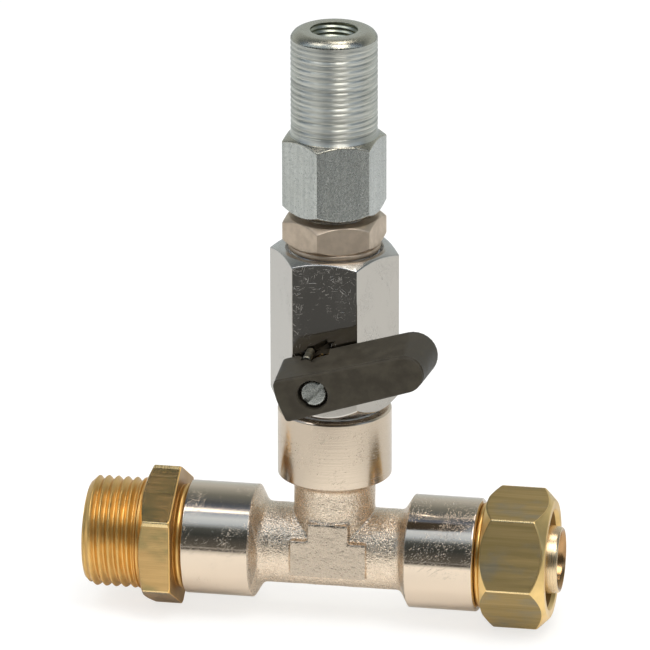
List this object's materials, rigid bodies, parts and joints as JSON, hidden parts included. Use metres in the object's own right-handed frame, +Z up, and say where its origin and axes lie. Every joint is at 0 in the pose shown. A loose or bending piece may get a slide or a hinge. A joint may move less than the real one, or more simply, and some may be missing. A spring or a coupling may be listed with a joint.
{
  "type": "quarter-turn valve tee",
  "caption": "Pipe tee with a threaded inlet nipple, a hose coupling with clamp nut, and a lever-operated quarter-turn valve under a threaded top adapter.",
  "frame": {"origin": "on the run's axis where the inlet nipple's full thread ends, 0.8 mm before its hex", "axes": "+X along the run from the inlet to the hose nozzle, +Z up the branch to the top adapter, -Y towards the lever side"},
  "size_m": [0.0893, 0.0361, 0.1152],
  "materials": {
    "nickel_tee": "nickel plate, polished sockets and sand-textured forging",
    "nickel_nipple": "satin nickel plate",
    "yellow_brass": "turned yellow brass",
    "nut_brass": "drawn brass with turned chamfers",
    "chrome_plate": "bright chrome plate",
    "zinc_steel": "zinc plate",
    "black_plastic": "satin moulded",
    "ptfe": "waxy white",
    "rubber": "matt"
  },
  "bodies": {
    "pipework": {"tee_body": "nickel_tee", "inlet_nipple": "yellow_brass", "inlet_thread_tape": "ptfe", "coupling_body": "yellow_brass", "outlet_thread_tape": "ptfe", "valve_body": "chrome_plate", "valve_thread_tape": "ptfe", "lower_seat": "ptfe", "upper_seat": "ptfe", "seat_retainer": "yellow_brass", "retainer_o_ring": "rubber", "stop_pin": "zinc_steel", "stem_washer": "ptfe", "hex_nipple": "nickel_nipple", "nipple_lower_tape": "ptfe", "nipple_upper_tape": "ptfe", "top_adapter": "zinc_steel"},
    "lever": {"lever": "black_plastic", "lever_screw": "zinc_steel", "valve_stem": "yellow_brass", "valve_ball": "chrome_plate", "stem_o_ring": "rubber"},
    "clamp_ring": {"clamp_ring": "yellow_brass"},
    "hose_nut": {"hose_nut": "nut_brass"}
  },
  "joints": [
    {"name": "lever_turn", "type": "hinge", "parent": "pipework", "child": "lever", "pos_m": [0.0363, 0, 0.0384], "axis": [0, -1, 0], "range_deg": [-16.3, 73.7]},
    {"name": "ring_slide", "type": "slide", "parent": "pipework", "child": "clamp_ring", "axis": [1, 0, 0], "range_m": [0, 0.003]},
    {"name": "nut_turn", "type": "hinge", "parent": "clamp_ring", "child": "hose_nut", "pos_m": [0.07, 0, 0], "axis": [1, 0, 0], "range_deg": [0, 720]}
  ],
  "couplings": [
    {"joint": "nut_turn", "follows": "ring_slide", "rad_per_m": 4188.8}
  ]
}
